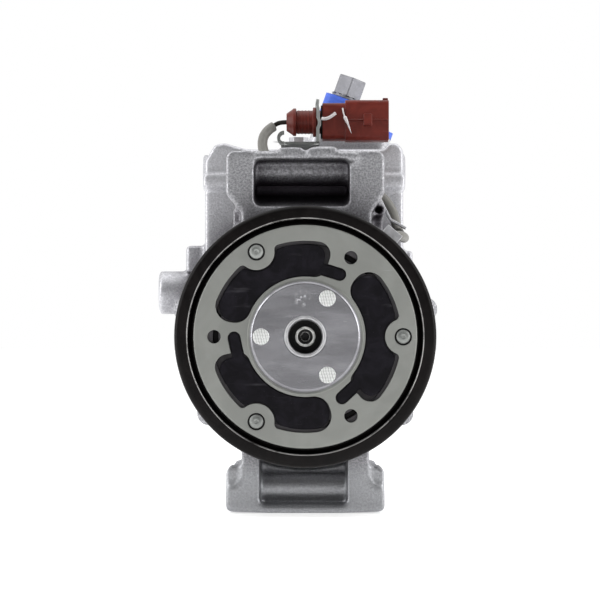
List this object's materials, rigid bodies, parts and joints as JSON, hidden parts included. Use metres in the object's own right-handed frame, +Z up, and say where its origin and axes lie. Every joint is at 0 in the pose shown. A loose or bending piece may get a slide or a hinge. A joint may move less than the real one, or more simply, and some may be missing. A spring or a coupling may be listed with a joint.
{
  "type": "automotive air-conditioning compressor",
  "caption": "Belt-driven swash-plate air-conditioning compressor with magnetic clutch, slotted hub plate, transverse mounting lugs, coil plug and capped port block.",
  "frame": {"origin": "shaft axis at the middle plane of the belt grooves", "axes": "+Y from the clutch to the rear head along the shaft, +X right and +Z up as seen from the clutch end"},
  "size_m": [0.1267, 0.2232, 0.2025],
  "materials": {
    "pulley_black": "gloss",
    "bearing_steel": "ground",
    "seal_rubber": "matt",
    "spring_steel": "satin",
    "coil_steel": "satin",
    "zinc_steel": "zinc plated",
    "armature_steel": "oxidised",
    "rivet_steel": "bright",
    "damper_rubber": "smooth",
    "plate_zinc": "zinc plated",
    "dark_steel": "blackened",
    "cast_aluminium": "bead blasted casting",
    "gasket": "coated",
    "piston_aluminium": "coated",
    "connector_plastic": "moulded",
    "tin_brass": "tinned",
    "lead_insulation": "smooth",
    "sleeve_grey": "braided",
    "cap_blue": "moulded"
  },
  "bodies": {
    "housing": {"bearing_inner_race": "bearing_steel", "bearing_snap_ring": "spring_steel", "body_gasket": "seal_rubber", "cable_clamp": "zinc_steel", "coil_lead": "lead_insulation", "coil_plate": "zinc_steel", "coil_snap_ring": "spring_steel", "connector_boot": "connector_plastic", "connector_bracket": "zinc_steel", "connector_housing": "connector_plastic", "connector_terminals": "tin_brass", "control_valve": "zinc_steel", "cylinder_block": "cast_aluminium", "discharge_reed": "spring_steel", "field_coil": "coil_steel", "front_housing": "cast_aluminium", "head_gasket": "gasket", "lead_sleeve": "sleeve_grey", "piston_1": "piston_aluminium", "piston_2": "piston_aluminium", "piston_3": "piston_aluminium", "piston_4": "piston_aluminium", "piston_5": "piston_aluminium", "piston_6": "piston_aluminium", "piston_7": "piston_aluminium", "piston_shoes": "bearing_steel", "rear_head": "cast_aluminium", "reed_retainer": "zinc_steel", "relief_valve": "zinc_steel", "seal_snap_ring": "spring_steel", "shaft_seal": "seal_rubber", "small_screws": "zinc_steel", "suction_reed": "spring_steel", "through_bolts": "zinc_steel", "thrust_race": "bearing_steel", "valve_plate": "zinc_steel"},
    "pulley": {"pulley": "pulley_black", "bearing_outer_race": "bearing_steel", "bearing_seals": "seal_rubber"},
    "ball_cage": {"bearing_balls": "bearing_steel", "bearing_cage": "bearing_steel"},
    "drive": {"hub": "zinc_steel", "hub_plate": "plate_zinc", "hub_rivets": "rivet_steel", "hub_shim": "spring_steel", "centre_bolt": "dark_steel", "leaf_springs": "spring_steel", "damper_rubbers": "damper_rubber", "shaft": "bearing_steel", "lug_plate": "coil_steel", "swash_plate": "bearing_steel", "destroke_spring": "spring_steel"},
    "armature": {"armature_plate": "armature_steel", "armature_rivets": "rivet_steel"},
    "front_needles": {"front_needle_bearing": "bearing_steel"},
    "rear_needles": {"rear_needle_bearing": "bearing_steel"},
    "thrust_cage": {"thrust_rollers": "bearing_steel"},
    "cap": {"port_cap": "cap_blue", "cap_bolt": "zinc_steel"},
    "valve_spool": {"valve_plunger": "bearing_steel"}
  },
  "joints": [
    {"name": "pulley_spin", "type": "hinge", "parent": "housing", "child": "pulley", "pos_m": [0, 0, 0], "axis": [0, 1, 0], "continuous": true},
    {"name": "shaft_spin", "type": "hinge", "parent": "housing", "child": "drive", "pos_m": [0, 0, 0], "axis": [0, 1, 0], "continuous": true},
    {"name": "armature_pull", "type": "slide", "parent": "drive", "child": "armature", "axis": [0, 1, 0], "range_m": [0, 0.0005], "stiffness_N_per_m": 20000, "deforming": ["leaf_springs"]},
    {"name": "ball_cage_spin", "type": "hinge", "parent": "housing", "child": "ball_cage", "pos_m": [0, 0, 0], "axis": [0, 1, 0], "continuous": true},
    {"name": "front_needles_spin", "type": "hinge", "parent": "housing", "child": "front_needles", "pos_m": [0, 0.027, 0], "axis": [0, 1, 0], "continuous": true},
    {"name": "rear_needles_spin", "type": "hinge", "parent": "housing", "child": "rear_needles", "pos_m": [0, 0.131, 0], "axis": [0, 1, 0], "continuous": true},
    {"name": "thrust_cage_spin", "type": "hinge", "parent": "housing", "child": "thrust_cage", "pos_m": [0, 0.038, 0], "axis": [0, 1, 0], "continuous": true},
    {"name": "cap_lift", "type": "slide", "parent": "housing", "child": "cap", "axis": [0.342, 0, 0.9397], "range_m": [0, 0.035]},
    {"name": "valve_stroke", "type": "slide", "parent": "housing", "child": "valve_spool", "axis": [1, 0, 0], "range_m": [0, 0.001], "stiffness_N_per_m": 1500}
  ],
  "couplings": [
    {"joint": "ball_cage_spin", "follows": "pulley_spin", "ratio": 0.55632},
    {"joint": "front_needles_spin", "follows": "shaft_spin", "ratio": 0.41026},
    {"joint": "rear_needles_spin", "follows": "shaft_spin", "ratio": 0.41026},
    {"joint": "thrust_cage_spin", "follows": "shaft_spin", "ratio": 0.5}
  ]
}
